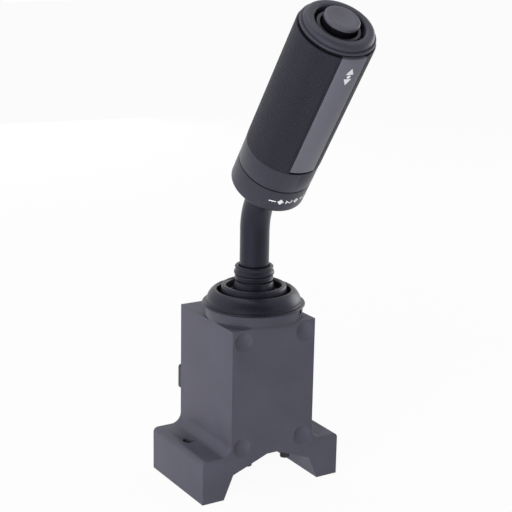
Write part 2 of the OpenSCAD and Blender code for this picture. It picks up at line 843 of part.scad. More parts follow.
module core_pin() {
  color("silver") at_grip() translate([0, 0, core_pin_z]) xcyl(1.5, -core_r + 0.3, core_r - 0.3);
}

module lower_bearing() {
  color([0.85, 0.82, 0.72]) at_grip()
    zring(core_r + run, bearing_r, lower_bearing_start, lower_bearing_start + bearing_len);
}

module upper_bearing() {
  color([0.85, 0.82, 0.72]) at_grip()
    zring(core_r + run, bearing_r, upper_bearing_start, upper_bearing_start + bearing_len);
}

module twist_board() {
  color([0.05, 0.3, 0.16]) at_grip() zring(core_r + run, 15, board_ring_start, board_ring_start + 1.6);
}

module detent_spring() {
  color([0.75, 0.72, 0.6]) at_grip() difference() {
    union() {
      block(-3, 3, core_r - 1, core_r + 1.7, detent_start, detent_start + detent_len + 4);
      block(-0.6, 0.6, core_r + 1, core_r + 2.8, detent_start + 2, detent_start + detent_len);
      translate([0, sleeve_bore - 1.5, 0]) zcyl(1.2, detent_start + 2, detent_start + detent_len);
    }
    zcyl(core_r + run, detent_start - past, detent_start + detent_len + 5);
  }
}

module top_cap() {
  color([0.38, 0.37, 0.4]) at_grip() rotate_extrude() {
    slab(core_r + run, sleeve_bore - 0.3, cap_floor_low - skirt_len, cap_floor_low + past);
    slab(stem_r + 0.2, sleeve_bore - 0.3, cap_floor_low, cap_floor_top);
    slab(well_r, sleeve_bore - 0.3, cap_floor_top - past, cap_start + past);
    soft_slab(well_r, grip_r - 0.7, cap_start, cap_start + 1.4, low = 0.4, high = 0.6);
    soft_slab(well_r, cap_ring_r, cap_start + 0.4, cap_end, high = 2.6, inner = 1.5);
  }
}

module button_bezel() {
  color([0.3, 0.3, 0.33]) at_grip() rotate_extrude() soft_slab(bezel_in, bezel_out, cap_floor_top, bezel_top, high = 0.6, inner = 0.5);
}

module button_switch() {
  color([0.12, 0.12, 0.13]) at_grip() {
    block(-6, 6, -6, 6, cup_floor, switch_top - 2);
    zcyl(2.6, switch_top - 2, switch_top);
  }
}

// One turn of wire is a closed ring here, because the spring is short and has few turns
module button_spring() {
  turns = 4;
  wire_r = 0.5;
  low = cap_floor_top + wire_r + 0.1;
  high = button_roof - wire_r - 0.1;
  color("silver") at_grip() for (i = [0 : turns - 1])
    translate([0, 0, low + (high - low) * i / (turns - 1)]) rotate_extrude() translate([stem_r + 1.5, 0]) circle(wire_r, $fn = 16);
}

// Twist sleeve

module sleeve() {
  color([0.33, 0.33, 0.36]) at_grip() difference() {
    union() {
      rotate_extrude() {
        slab(sleeve_bore, grip_r - 2.8, collar_start - 4.8, collar_start + past);
        soft_slab(sleeve_bore, grip_r, collar_start, cover_start, high = 0.3);
        slab(sleeve_bore, sleeve_r, cover_start - past, cover_end);
      }
      // ribs that meet the lug of the core at the ends of the twist
      for (side = [-1, 1])
        arc_slab(sleeve_bore - 1.3, sleeve_bore + past, rib_half,
                 side * (lug_half + twist_range + rib_gap + rib_half), lug_start, lug_start + lug_len);
    }
    // one groove for each position of the twist
    for (i = [0 : detent_count - 1])
      rotate([0, 0, (i - (detent_count - 1) / 2) * detent_pitch]) translate([0, sleeve_bore + 0.2, 0])
        zcyl(1.2, detent_start + 1, detent_start + detent_len + 1);
    arc_slab(sleeve_bore - past, sleeve_bore + 1.6, 12.5, 180, board_ring_start - 3, board_ring_start + 4);
  }
}

module knurled_cover() {
  color([0.2, 0.2, 0.23]) at_grip() translate([0, 0, cover_start]) linear_extrude(cover_len) difference() {
    circle(grip_r + 0.15);
    circle(sleeve_r + run);
    wedge(strip_half + 0.3);
  }
}

module thumb_strip() {
  color([0.4, 0.39, 0.43]) at_grip()
    arc_slab(sleeve_r + run, grip_r + 0.15 + strip_rise, strip_half, 0, cover_start + strip_gap, cover_end);
}

module twist_magnet() {
  color([0.7, 0.7, 0.72]) at_grip()
    arc_slab(sleeve_bore + run, sleeve_bore + 1.55, 12, 180, board_ring_start - 2.9, board_ring_start + 3.9);
}

// Button

module button() {
  dish = 40;
  color([0.4, 0.39, 0.43]) at_grip() difference() {
    rotate_extrude() {
      difference() {
        soft_slab(0, button_r, button_low, button_top, high = 0.9);
        slab(-past, button_r - 1.8, button_low - past, button_roof);
      }
      slab(0, stem_r, stem_low, button_roof + past);
    }
    translate([0, 0, button_top + dish - 0.6]) sphere(dish, $fn = 144);
    difference() {
      zcyl(stem_r + past, cap_floor_low - 1.1, cap_floor_low - 0.1);
      zcyl(stem_r - 0.6, cap_floor_low - 2, cap_floor_low + past);
    }
  }
}

module button_clip() {
  color([0.2, 0.2, 0.22]) at_grip() zring(stem_r - 0.6 + run, stem_r + 2.2, cap_floor_low - 1.05, cap_floor_low - 0.15);
}

housing();
rear_cover();
cover_seal();
cover_screws();
connector_shell();
connector_pins();
flange_screws();
main_board();
board_chips();
board_screws();
cable_header();
pivot_bracket();
bracket_screws();
pivot_bushes();
friction_discs();
wave_washers();
tilt_sensor();
sensor_screws();
boot_seat();
boot();
cable_loop();
rocker();
pivot_pin();
pin_clip();
pivot_magnet();
shaft();
lever_cable();
index_ring();
grip_core();
core_pin();
lower_bearing();
upper_bearing();
twist_board();
detent_spring();
top_cap();
button_bezel();
button_switch();
button_spring();
sleeve();
knurled_cover();
thumb_strip();
twist_magnet();
button();
button_clip();
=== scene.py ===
import math

import bpy
from mathutils import Matrix, Vector


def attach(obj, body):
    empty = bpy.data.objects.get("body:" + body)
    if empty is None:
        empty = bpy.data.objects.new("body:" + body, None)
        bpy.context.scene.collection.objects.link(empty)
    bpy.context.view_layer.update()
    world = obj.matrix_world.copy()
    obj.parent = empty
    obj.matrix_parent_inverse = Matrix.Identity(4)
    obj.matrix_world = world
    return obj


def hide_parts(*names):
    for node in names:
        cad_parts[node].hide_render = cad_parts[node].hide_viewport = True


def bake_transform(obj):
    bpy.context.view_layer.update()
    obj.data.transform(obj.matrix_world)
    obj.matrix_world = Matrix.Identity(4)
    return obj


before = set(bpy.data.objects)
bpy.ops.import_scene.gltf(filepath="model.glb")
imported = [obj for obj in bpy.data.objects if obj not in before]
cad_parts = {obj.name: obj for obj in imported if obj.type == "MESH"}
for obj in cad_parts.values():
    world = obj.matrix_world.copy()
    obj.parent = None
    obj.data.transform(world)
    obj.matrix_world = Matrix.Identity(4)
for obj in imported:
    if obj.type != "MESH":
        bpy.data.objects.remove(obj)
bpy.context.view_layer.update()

MM = 0.001
LEVER_Y = -8.9 * MM
BEND_Z = 153 * MM
GRIP_LEAN = math.radians(34.4)
# The grip's own frame: z runs up its axis from the middle of the bend, -y is the thumb's side
GRIP = Matrix.Translation((0, LEVER_Y, BEND_Z)) @ Matrix.Rotation(GRIP_LEAN, 4, "X")
GRIP_AXIS = Vector((0, -math.sin(GRIP_LEAN), math.cos(GRIP_LEAN)))
SHAFT = Matrix.Translation((0, LEVER_Y, 0))

# Points nearer than this are one point
WELD = 2e-6
# Faces that meet at less than the first angle are joined, and edges sharper than the second are rounded
FLAT_ANGLE = math.radians(0.4)
SHARP_ANGLE = math.radians(32)
SOFTENED_SMOOTH = math.radians(38)


# Modelling helpers

def clear_selection():
    if bpy.context.object and bpy.context.object.mode != "OBJECT":
        bpy.ops.object.mode_set(mode="OBJECT")
    bpy.ops.object.select_all(action="DESELECT")


def take(piece):
    clear_selection()
    piece.select_set(True)
    bpy.context.view_layer.objects.active = piece


def begin_edit(piece, mode="VERT"):
    take(piece)
    bpy.ops.object.mode_set(mode="EDIT")
    bpy.ops.mesh.select_mode(type=mode)


def end_edit():
    bpy.ops.object.mode_set(mode="OBJECT")


def pick(piece, kind, test):
    """Selects the faces, edges or vertices of the edited piece that pass the test of their place."""
    bpy.ops.mesh.select_all(action="DESELECT")
    bpy.ops.object.mode_set(mode="OBJECT")
    mesh = piece.data
    points = [v.co for v in mesh.vertices]
    if kind == "FACE":
        for f in mesh.polygons:
            f.select = test(f.center, f.normal)
    elif kind == "EDGE":
        for e in mesh.edges:
            e.select = test(points[e.vertices[0]], points[e.vertices[1]])
    else:
        for v in mesh.vertices:
            v.select = test(v.co)
    bpy.ops.object.mode_set(mode="EDIT")
    bpy.ops.mesh.select_mode(type=kind)


def put(piece, place):
    """Puts the piece at its place and applies that to the mesh."""
    take(piece)
    piece.matrix_world = place @ piece.matrix_world
    bpy.ops.object.transform_apply(location=True, rotation=True, scale=True)


def settle(piece, place, smooth):
    """Puts the piece at its place and shades it smooth, apart from edges over that many degrees."""
    put(piece, place)
    bpy.ops.object.shade_smooth_by_angle(angle=math.radians(smooth))


def apply_all(piece):
    take(piece)
    for m in list(piece.modifiers):
        bpy.ops.object.modifier_apply(modifier=m.name)


def turned(name, outline, around):
    """A closed turned piece: a circle is extruded, widened and lifted from point to point of the outline."""
    clear_selection()
    r, z = outline[0]
    bpy.ops.mesh.primitive_circle_add(vertices=around, radius=r, location=(0, 0, z))
    piece = bpy.context.object
    piece.name = name
    bpy.ops.object.transform_apply(location=True)
    begin_edit(piece, "EDGE")
    bpy.ops.mesh.select_all(action="SELECT")
    for r2, z2 in outline[1:] + outline[:1]:
        bpy.ops.mesh.extrude_edges_move()
        bpy.ops.transform.resize(value=(r2 / r, r2 / r, 1), center_override=(0, 0, 0))
        bpy.ops.transform.translate(value=(0, 0, z2 - z))
        r, z = r2, z2
    bpy.ops.mesh.select_all(action="SELECT")
    bpy.ops.mesh.remove_doubles(threshold=WELD)
    bpy.ops.mesh.normals_make_consistent(inside=False)
    end_edit()
    return piece


def softened(node, name, width):
    """A copy of a CAD node with its triangles joined to whole faces and its sharp edges rounded."""
    clear_selection()
    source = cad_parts[node]
    piece = bpy.data.objects.new(name, source.data.copy())
    bpy.context.scene.collection.objects.link(piece)
    begin_edit(piece)
    bpy.ops.mesh.select_all(action="SELECT")
    bpy.ops.mesh.remove_doubles(threshold=WELD)
    bpy.ops.mesh.dissolve_limited(angle_limit=FLAT_ANGLE)
    end_edit()
    if piece.data.has_custom_normals:
        bpy.ops.mesh.customdata_custom_splitnormals_clear()
    round_over = piece.modifiers.new("round over", "BEVEL")
    round_over.width = width
    round_over.segments = 3
    round_over.limit_method = "ANGLE"
    round_over.angle_limit = SHARP_ANGLE
    round_over.use_clamp_overlap = True
    round_over.miter_outer = "MITER_ARC"
    apply_all(piece)
    bpy.ops.object.shade_smooth_by_angle(angle=SOFTENED_SMOOTH)
    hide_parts(node)
    return piece


def up_grip(point):
    """How far up the grip's axis a point lies."""
    return (GRIP.inverted() @ point).z


def reach(node):
    """The lowest and highest point of a CAD node along the grip's axis."""
    levels = [up_grip(v.co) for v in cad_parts[node].data.vertices]
    return min(levels), max(levels)


# Shader helpers

def node_in(tree, kind, **values):
    n = tree.nodes.new(kind)
    for key, value in values.items():
        setattr(n, key, value)
    return n


def feed(tree, value, socket):
    """Sets a socket to a number or a colour, or links it to another socket."""
    if isinstance(value, (int, float, tuple)):
        socket.default_value = value
    else:
        tree.links.new(value, socket)


def math_in(tree, operation, a, b, clamp=False):
    n = node_in(tree, "ShaderNodeMath", operation=operation, use_clamp=clamp)
    for socket, value in zip(n.inputs, (a, b)):
        feed(tree, value, socket)
    return n.outputs[0]


def noise_in(tree, vector, scale, detail=2, roughness=0.5):
    n = node_in(tree, "ShaderNodeTexNoise")
    for label, value in (("Vector", vector), ("Scale", scale), ("Detail", detail), ("Roughness", roughness)):
        feed(tree, value, n.inputs[label])
    return n.outputs[0]


def scaled_in(tree, colour, gain):
    n = node_in(tree, "ShaderNodeVectorMath", operation="SCALE")
    tree.links.new(colour, n.inputs[0])
    tree.links.new(gain, n.inputs["Scale"])
    return n.outputs[0]


def mixed_in(tree, factor, a, b):
    n = node_in(tree, "ShaderNodeMix", data_type="RGBA")
    for label, value in (("Factor", factor), ("A", a), ("B", b)):
        feed(tree, value, n.inputs[label])
    return n.outputs["Result"]


def along_in(tree, vector, axis):
    """How far a vector reaches along an axis."""
    n = node_in(tree, "ShaderNodeVectorMath", operation="DOT_PRODUCT")
    n.inputs[1].default_value = axis
    tree.links.new(vector, n.inputs[0])
    return n.outputs["Value"]


def step_in(tree, value, start, end, before, after):
    """A soft step from one number to another, between a start and an end of the value."""
    n = node_in(tree, "ShaderNodeMapRange", interpolation_type="SMOOTHSTEP")
    for label, number in (("From Min", start), ("From Max", end), ("To Min", before), ("To Max", after)):
        n.inputs[label].default_value = number
    tree.links.new(value, n.inputs["Value"])
    return n.outputs["Result"]


def bump_in(tree, height, depth):
    n = node_in(tree, "ShaderNodeBump")
    n.inputs["Distance"].default_value = depth * MM
    tree.links.new(height, n.inputs["Height"])
    return n.outputs[0]


def new_group(name, inputs, outputs):
    tree = bpy.data.node_groups.new(name, "ShaderNodeTree")
    for label, kind, value in inputs:
        socket = tree.interface.new_socket(name=label, in_out="INPUT", socket_type=kind)
        if value is not None:
            socket.default_value = value
    for label, kind in outputs:
        tree.interface.new_socket(name=label, in_out="OUTPUT", socket_type=kind)
    return tree, tree.nodes.new("NodeGroupInput").outputs, tree.nodes.new("NodeGroupOutput").inputs


def new_material(name):
    mat = bpy.data.materials.new(name)
    mat.use_nodes = True
    tree = mat.node_tree
    return mat, tree, tree.nodes["Principled BSDF"], node_in(tree, "ShaderNodeTexCoord").outputs["Object"]


# Shader groups

def grain_group():
    """Moulded grain: a fine leathery height over a coarser swell."""
    tree, given, out = new_group(
        "moulded grain",
        [("Vector", "NodeSocketVector", None), ("Size", "NodeSocketFloat", 2600.0)],
        [("Height", "NodeSocketFloat")],
    )
    fine = noise_in(tree, given["Vector"], given["Size"], 4, 0.62)
    cells = node_in(tree, "ShaderNodeTexVoronoi", feature="SMOOTH_F1")
    cells.inputs["Smoothness"].default_value = 0.6
    tree.links.new(given["Vector"], cells.inputs["Vector"])
    tree.links.new(math_in(tree, "MULTIPLY", given["Size"], 0.55), cells.inputs["Scale"])
    both = math_in(tree, "ADD", fine, math_in(tree, "MULTIPLY", cells.outputs["Distance"], 0.6))
    swell = math_in(tree, "MULTIPLY", noise_in(tree, given["Vector"], 70, 3), 0.4)
    tree.links.new(math_in(tree, "ADD", both, swell), out["Height"])
    return tree


def tone_group():
    """Uneven tone of a used moulding: cloudy lighter areas, fine specks and rubbed patches."""
    tree, given, out = new_group(
        "uneven tone",
        [("Vector", "NodeSocketVector", None), ("Base", "NodeSocketColor", (0.1, 0.1, 0.1, 1)),
         ("Cloud", "NodeSocketFloat", 0.15), ("Rub", "NodeSocketFloat", 0.1),
         ("Roughness", "NodeSocketFloat", 0.5)],
        [("Colour", "NodeSocketColor"), ("Roughness", "NodeSocketFloat")],
    )
    cloud = noise_in(tree, given["Vector"], 38, 5)
    lift = math_in(tree, "MULTIPLY", math_in(tree, "SUBTRACT", cloud, 0.5), given["Cloud"])
    spots = node_in(tree, "ShaderNodeValToRGB")
    spots.color_ramp.elements[0].position = 0.58
    spots.color_ramp.elements[1].position = 0.8
    tree.links.new(noise_in(tree, given["Vector"], 160, 6, 0.7), spots.inputs[0])
    rubbed = math_in(tree, "MULTIPLY", spots.outputs[0], given["Rub"])
    speck = noise_in(tree, given["Vector"], 900)
    fleck = math_in(tree, "MULTIPLY", math_in(tree, "SUBTRACT", speck, 0.5), 0.12)
    gain = math_in(tree, "ADD", math_in(tree, "ADD", math_in(tree, "MULTIPLY", lift, 2.0), fleck), 1.0)
    worn = (0.26, 0.26, 0.29, 1)
    tree.links.new(mixed_in(tree, rubbed, scaled_in(tree, given["Base"], gain), worn), out["Colour"])
    rough = math_in(tree, "ADD", given["Roughness"], math_in(tree, "MULTIPLY", lift, 0.5))
    rough = math_in(tree, "ADD", rough, math_in(tree, "MULTIPLY", rubbed, 0.4), True)
    tree.links.new(rough, out["Roughness"])
    return tree


def drawn_group():
    """Fine drawn lines and stains of plated or oiled steel."""
    tree, given, out = new_group(
        "drawn metal",
        [("Vector", "NodeSocketVector", None), ("Base", "NodeSocketColor", (0.6, 0.6, 0.62, 1)),
         ("Roughness", "NodeSocketFloat", 0.3)],
        [("Colour", "NodeSocketColor"), ("Roughness", "NodeSocketFloat"), ("Height", "NodeSocketFloat")],
    )
    stretch = node_in(tree, "ShaderNodeVectorMath", operation="MULTIPLY")
    stretch.inputs[1].default_value = (1, 1, 0.06)
    tree.links.new(given["Vector"], stretch.inputs[0])
    lines = noise_in(tree, stretch.outputs[0], 2400, 3)
    stain = noise_in(tree, given["Vector"], 130, 5)
    gain = math_in(tree, "ADD", math_in(tree, "MULTIPLY", stain, 0.45), 0.72)
    tree.links.new(scaled_in(tree, given["Base"], gain), out["Colour"])
    rough = math_in(tree, "ADD", given["Roughness"], math_in(tree, "MULTIPLY", lines, 0.22), True)
    tree.links.new(rough, out["Roughness"])
    tree.links.new(lines, out["Height"])
    return tree


GRAIN = grain_group()
TONE = tone_group()
DRAWN = drawn_group()


# Materials

# Tints of the gloss: the photograph's dark plastics mirror their surroundings a little blue
COOL = (0.76, 0.77, 1, 1)
NEUTRAL = (1, 1, 1, 1)
# The nearly black colour of painted shade in seams and under the button's top
PAINTED_SHADE = (0.004, 0.004, 0.006, 1)


def moulded(name, colour, roughness, size, depth, cloud, rub, specular=0.5, gloss=COOL):
    """Moulded plastic, rubber or paint: uneven tone over a fine grain of its own size and depth."""
    mat, tree, shader, place = new_material(name)
    shader.inputs["Specular IOR Level"].default_value = specular
    shader.inputs["Specular Tint"].default_value = gloss
    tone = node_in(tree, "ShaderNodeGroup", node_tree=TONE)
    tone.inputs["Base"].default_value = (*colour, 1)
    tone.inputs["Cloud"].default_value = cloud
    tone.inputs["Rub"].default_value = rub
    tone.inputs["Roughness"].default_value = roughness
    grain = node_in(tree, "ShaderNodeGroup", node_tree=GRAIN)
    grain.inputs["Size"].default_value = size
    for group in (tone, grain):
        tree.links.new(place, group.inputs["Vector"])
    tree.links.new(tone.outputs["Colour"], shader.inputs["Base Color"])
    tree.links.new(tone.outputs["Roughness"], shader.inputs["Roughness"])
    tree.links.new(bump_in(tree, grain.outputs["Height"], depth), shader.inputs["Normal"])
    return mat


def metal(name, colour, roughness, depth=0.006):
    """Bare, plated or oiled metal with fine drawn lines of its own depth."""
    mat, tree, shader, place = new_material(name)
    shader.inputs["Metallic"].default_value = 1
    drawn = node_in(tree, "ShaderNodeGroup", node_tree=DRAWN)
    drawn.inputs["Base"].default_value = (*colour, 1)
    drawn.inputs["Roughness"].default_value = roughness
    tree.links.new(place, drawn.inputs["Vector"])
    tree.links.new(drawn.outputs["Colour"], shader.inputs["Base Color"])
    tree.links.new(drawn.outputs["Roughness"], shader.inputs["Roughness"])
    tree.links.new(bump_in(tree, drawn.outputs["Height"], depth), shader.inputs["Normal"])
    return mat


def painted_shade_band(mat, low, high):
    """Paints shade into the colour: a band across the grip's axis, nearly black as in the shade of a seam,
    with soft edges and no gloss.
    """
    tree = mat.node_tree
    shader = tree.nodes["Principled BSDF"]
    base, shine = shader.inputs["Base Color"], shader.inputs["Specular IOR Level"]
    along = along_in(tree, node_in(tree, "ShaderNodeTexCoord").outputs["Object"], GRIP_AXIS)
    bend = GRIP_AXIS.dot(GRIP.translation)
    soft = 0.15 * MM
    outside_painted_shade = 0.0
    for level, below, above in ((low, 1, 0), (high, 0, 1)):
        edge = step_in(tree, along, level + bend - soft, level + bend + soft, below, above)
        outside_painted_shade = math_in(tree, "MAXIMUM", outside_painted_shade, edge)
    # inside the band the colour is replaced by painted shade and the gloss is taken away
    tree.links.new(mixed_in(tree, outside_painted_shade, PAINTED_SHADE, base.links[0].from_socket), base)
    tree.links.new(math_in(tree, "MULTIPLY", outside_painted_shade, shine.default_value), shine)


# Each with its colour, roughness, grain per metre, grain depth in mm, clouds and rubbed patches
HOUSING_PLASTIC = moulded("housing plastic", (0.066, 0.065, 0.086), 0.55, 1500, 0.03, 0.3, 0.07)
COVER_PLASTIC = moulded("cover plastic", (0.055, 0.054, 0.07), 0.55, 1700, 0.03, 0.16, 0.05)
RING_PLASTIC = moulded("boot ring plastic", (0.045, 0.044, 0.058), 0.4, 2600, 0.012, 0.12, 0.05)
BOOT_RUBBER = moulded("boot rubber", (0.01, 0.01, 0.0148), 0.36, 1800, 0.012, 0.4, 0.02, 0.4)
SHAFT_PAINT = moulded("shaft paint", (0.006, 0.006, 0.01), 0.33, 1500, 0.008, 0.3, 0.02, 0.42)
GRIP_PLASTIC = moulded("grip plastic", (0.022, 0.0217, 0.03), 0.36, 2200, 0.012, 0.14, 0.05)
KNURL_PLASTIC = moulded("knurl plastic", (0.009, 0.009, 0.014), 0.45, 2200, 0.01, 0.25, 0.03, 0.4)
STRIP_PLASTIC = moulded("strip plastic", (0.104, 0.103, 0.127), 0.38, 2200, 0.012, 0.14, 0.04)
CAP_PLASTIC = moulded("cap plastic", (0.037, 0.0362, 0.048), 0.46, 2200, 0.01, 0.14, 0.04, 0.42)
BUTTON_PLASTIC = moulded("button plastic", (0.085, 0.083, 0.103), 0.44, 2200, 0.012, 0.14, 0.04)
SOCKET_PLASTIC = moulded("socket plastic", (0.014, 0.014, 0.016), 0.42, 2200, 0.012, 0.2, 0.03)
SEAL_RUBBER = moulded("seal rubber", (0.012, 0.012, 0.013), 0.6, 2200, 0.02, 0.2, 0.0)
CABLE_JACKET = moulded("cable jacket", (0.014, 0.014, 0.015), 0.5, 2200, 0.015, 0.2, 0.0)
PRINT_WHITE = moulded("white print", (0.75, 0.75, 0.78), 0.5, 3000, 0.004, 0.1, 0.0, gloss=NEUTRAL)
IVORY_PLASTIC = moulded("ivory plastic", (0.62, 0.58, 0.48), 0.45, 2200, 0.01, 0.12, 0.0, gloss=NEUTRAL)
BOARD_MASK = moulded("board mask", (0.01, 0.1, 0.045), 0.35, 3000, 0.006, 0.2, 0.0, gloss=NEUTRAL)
FRICTION_FIBRE = moulded("friction fibre", (0.17, 0.1, 0.06), 0.85, 1200, 0.05, 0.4, 0.2, gloss=NEUTRAL)
# Each with its colour and roughness
CAST_METAL = metal("cast metal", (0.5, 0.5, 0.52), 0.45, 0.02)
ZINC_STEEL = metal("zinc steel", (0.6, 0.6, 0.62), 0.28)
DARK_STEEL = metal("dark steel", (0.06, 0.06, 0.065), 0.4)
CONTACT_GOLD = metal("contact gold", (0.8, 0.6, 0.25), 0.2)

# Painted shade, nearly black: the button's side under its top, the seam over the index ring and the one
# under the strip
painted_shade_band(BUTTON_PLASTIC, reach("button")[0] - MM, reach("button")[1] - 1.9 * MM)
painted_shade_band(GRIP_PLASTIC, reach("index_ring")[1] - 0.5 * MM, reach("sleeve")[0] + 1.0 * MM)
painted_shade_band(STRIP_PLASTIC, reach("thumb_strip")[0] - MM, reach("thumb_strip")[0] + 1.2 * MM)

NODE_FINISH = {
    "housing": HOUSING_PLASTIC, "rear_cover": COVER_PLASTIC, "cover_seal": SEAL_RUBBER,
    "cover_screws": ZINC_STEEL, "connector_shell": SOCKET_PLASTIC, "connector_pins": CONTACT_GOLD,
    "flange_screws": ZINC_STEEL, "main_board": BOARD_MASK, "board_chips": SOCKET_PLASTIC,
    "board_screws": ZINC_STEEL, "cable_header": IVORY_PLASTIC, "pivot_bracket": ZINC_STEEL,
    "bracket_screws": DARK_STEEL, "pivot_bushes": IVORY_PLASTIC, "friction_discs": FRICTION_FIBRE,
    "wave_washers": ZINC_STEEL, "tilt_sensor": SOCKET_PLASTIC, "sensor_screws": ZINC_STEEL,
    "boot_seat": RING_PLASTIC, "boot": BOOT_RUBBER, "cable_loop": CABLE_JACKET, "rocker": CAST_METAL,
    "pivot_pin": ZINC_STEEL, "pin_clip": DARK_STEEL, "pivot_magnet": ZINC_STEEL, "shaft": SHAFT_PAINT,
    "lever_cable": CABLE_JACKET, "index_ring": GRIP_PLASTIC, "grip_core": SOCKET_PLASTIC,
    "core_pin": ZINC_STEEL, "lower_bearing": IVORY_PLASTIC, "upper_bearing": IVORY_PLASTIC,
    "twist_board": BOARD_MASK, "detent_spring": ZINC_STEEL, "top_cap": CAP_PLASTIC,
    "button_bezel": CAP_PLASTIC, "button_switch": SOCKET_PLASTIC, "button_spring": ZINC_STEEL,
    "sleeve": GRIP_PLASTIC, "knurled_cover": KNURL_PLASTIC, "thumb_strip": STRIP_PLASTIC,
    "twist_magnet": ZINC_STEEL, "button": BUTTON_PLASTIC, "button_clip": DARK_STEEL,
}


def paint(piece, finish):
    if not piece.material_slots:
        piece.data.materials.append(finish)
    for place in piece.material_slots:
        place.material = finish


for node, finish in NODE_FINISH.items():
    paint(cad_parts[node], finish)


# Housing and grip pieces with rounded edges

SEAM_LIFT = 0.35 * MM
RIM_BAND = 0.5 * MM


def widen_seam(piece):
    """Raises the sleeve's lower rim, so that the seam over the index ring reads as a dark line."""
    low = min(up_grip(v.co) for v in piece.data.vertices)
    begin_edit(piece)
    pick(piece, "VERT", lambda point: up_grip(point) < low + RIM_BAND)
    bpy.ops.transform.translate(value=GRIP_AXIS * SEAM_LIFT)
    end_edit()


for node, name, width, slot, body in (
    ("housing", "housing_moulding", 0.45, "dark_plastic", "base"),
    ("index_ring", "index_ring_moulding", 0.3, "grip_plastic", "lever"),
    ("sleeve", "sleeve_moulding", 0.3, "grip_plastic", "twist_grip"),
    ("thumb_strip", "strip_moulding", 0.25, "strip_plastic", "twist_grip"),
):
    piece = softened(node, name, width * MM)
    if node == "sleeve":
        widen_seam(piece)
    paint(piece, NODE_FINISH[node])
    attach(piece, body)


# Rubber boot, in mm from the shaft's axis and from the sole

SHAFT_R = 8
FOOT_Z = 97
FOOT_TOP_Z = 98.3
FOOT_INNER_R = 21.2
SKIRT_INNER_R = 23.5
SKIRT_R = 24.7
SEAT_TOP_Z = 101.6
BOOT_WALL = 1.2
NECK_INNER_R = 8.35
NECK_INNER_Z = 113.5
LIP_R = 1.1
LIP_Z = 122.3
AROUND_BOOT = 144
# From the dome to the neck: out from the shaft, up from the foot, radius, whether the wall makes the inner
# radius smaller or larger, first and last angle
FOLDS = (
    (9.6, 5.9, 8.3, -1, 0, 58), (13.34, 11.88, 1.25, -1, 58, 180), (11, 8.2, 0.5, 1, 360, 180),
    (8.45, 14.3, 1.35, -1, 0, 180), (5.3, 11.4, 1.3, 1, 360, 190), (3.7, 17.6, 1.5, 1, 190, 150),
    (2.75, 19.3, 0.6, 1, 250, 110), (1.2, 22.4, 1.8, -1, -50, 60),
)
# Folds of this radius or less get fewer steps, and none is sharper than the second radius
SMALL_FOLD = 0.5
SHARPEST_FOLD = 0.06


def at(r, z):
    return r * MM, z * MM


def arc(r, z, radius, first, last, steps):
    angles = [math.radians(first + (last - first) * i / steps) for i in range(steps + 1)]
    return [at(r + radius * math.cos(a), z + radius * math.sin(a)) for a in angles]


def folds(wall):
    """The boot's folds as arcs joined by straight lines, as in the CAD model, moved inwards by the wall."""
    points = []
    for out, up, radius, side, first, last in FOLDS:
        radius += side * wall
        steps = 10 if radius > SMALL_FOLD else 4
        points += arc(SHAFT_R + out, FOOT_Z + up, max(radius, SHARPEST_FOLD), first, last, steps)
    return points


def rubber_boot():
    outline = [at(FOOT_INNER_R, FOOT_Z), at(SKIRT_R, FOOT_Z), at(SKIRT_R, SEAT_TOP_Z)]
    # the rim that lies on the seat, and the groove over it
    outline += arc(27.75, 102.05, 0.45, -90, 40, 6) + arc(27.5, 102.2, 0.5, 50, 90, 4)
    outline += [at(26.6, 102.72)] + arc(26.5, 103.3, 0.6, 270, 182, 5)
    outline += folds(0) + arc(NECK_INNER_R + LIP_R, LIP_Z, LIP_R, 15, 180, 8)
    # down the inside, where the folds begin under the part of the neck that lies on the shaft
    outline += [at(NECK_INNER_R, NECK_INNER_Z)]
    outline += [p for p in reversed(folds(BOOT_WALL)) if p[1] < (NECK_INNER_Z - 0.2) * MM]
    outline += [at(SKIRT_INNER_R, 101), at(SKIRT_INNER_R, FOOT_TOP_Z), at(FOOT_INNER_R, FOOT_TOP_Z)]
    piece = turned("rubber_boot", outline, AROUND_BOOT)
    settle(piece, SHAFT, 50)
    paint(piece, BOOT_RUBBER)
    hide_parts("boot")
    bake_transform(piece)


rubber_boot()


# Knurled cover

KNURL_LOW = 47.95 * MM
KNURL_HIGH = 124.05 * MM
KNURL_R = 20.12 * MM
KNURL_WALL = 1.5 * MM
KNURL_COLUMNS = 90
KNURL_ROWS = 38
DIAMOND_HEIGHT = 0.24 * MM
# From the middle of the strip: where the cover ends, and where the last whole column of the knurl begins
STRIP_HALF = math.radians(20.6)
BORDER_HALF = math.radians(24.5)
SAME = 1e-7


def outer_face(middle, normal):
    return math.hypot(middle.x, middle.y) > 19.9 * MM and abs(normal.z) < 0.3


def inner_grid_line(a, b):
    """True for the squares' edges inside the outer face, and not for its border or the corner cuts."""
    along = abs(a.x - b.x) < SAME and abs(a.y - b.y) < SAME
    level = abs(a.z - b.z) < SAME
    if not (along or level) or min(math.hypot(a.x, a.y), math.hypot(b.x, b.y)) < 20 * MM:
        return False
    if level:
        return KNURL_LOW + 1e-5 < a.z < KNURL_HIGH - 1e-5
    return abs(math.atan2(a.x, -a.y)) > BORDER_HALF


